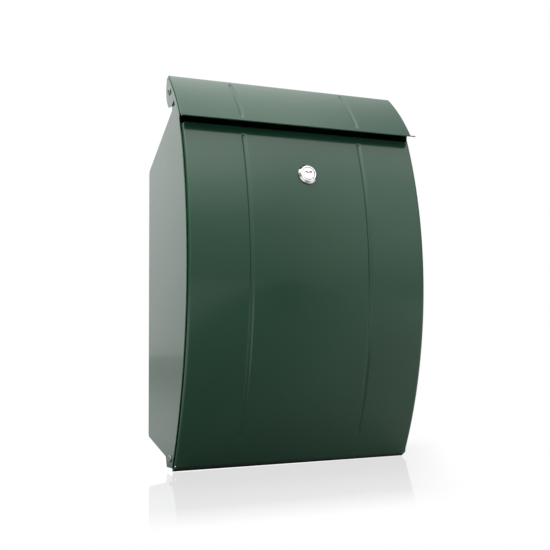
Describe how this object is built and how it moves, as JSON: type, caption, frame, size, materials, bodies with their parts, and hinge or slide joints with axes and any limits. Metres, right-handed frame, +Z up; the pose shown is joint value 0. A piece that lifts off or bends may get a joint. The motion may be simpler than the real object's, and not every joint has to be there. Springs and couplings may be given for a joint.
{
  "type": "wall mounted mailbox",
  "caption": "Wall mounted mailbox of pressed sheet steel with a rolled front door that drops forward, a lift-up lid over the posting slot and a cam lock.",
  "frame": {"origin": "middle of the back panel's rear face, on the wall", "axes": "+Z up, +Y into the wall, the front faces -Y"},
  "size_m": [0.2668, 0.145, 0.3981],
  "materials": {
    "paint": "gloss moss green powder coat",
    "chrome": "bright plated",
    "zinc": "satin zinc plated"
  },
  "bodies": {
    "housing": {"back_panel": "paint", "side_panel_left": "paint", "side_panel_right": "paint", "roof_panel": "paint", "floor_panel": "paint", "strike_rail": "paint", "lid_rivet_left": "zinc", "lid_rivet_right": "zinc", "lid_washer_left": "zinc", "lid_washer_right": "zinc", "door_rivet_left": "zinc", "door_rivet_right": "zinc", "door_washer_left": "zinc", "door_washer_right": "zinc"},
    "lid": {"lid_cover": "paint"},
    "door": {"door_panel": "paint", "lock_body": "chrome", "lock_washer": "zinc", "lock_nut": "zinc"},
    "lock_barrel": {"lock_plug": "chrome", "lock_cam": "zinc", "cam_screw": "zinc"}
  },
  "joints": [
    {"name": "lid_hinge", "type": "hinge", "parent": "housing", "child": "lid", "pos_m": [0, -0.0877, 0.2091], "axis": [-1, 0, 0], "range_deg": [0, 105]},
    {"name": "door_hinge", "type": "hinge", "parent": "housing", "child": "door", "pos_m": [0, -0.0868, -0.1576], "axis": [1, 0, 0], "range_deg": [0, 100]},
    {"name": "lock_turn", "type": "hinge", "parent": "door", "child": "lock_barrel", "pos_m": [0, -0.13586, 0.122], "axis": [0, -0.9786, 0.2056], "range_deg": [0, 90]}
  ]
}
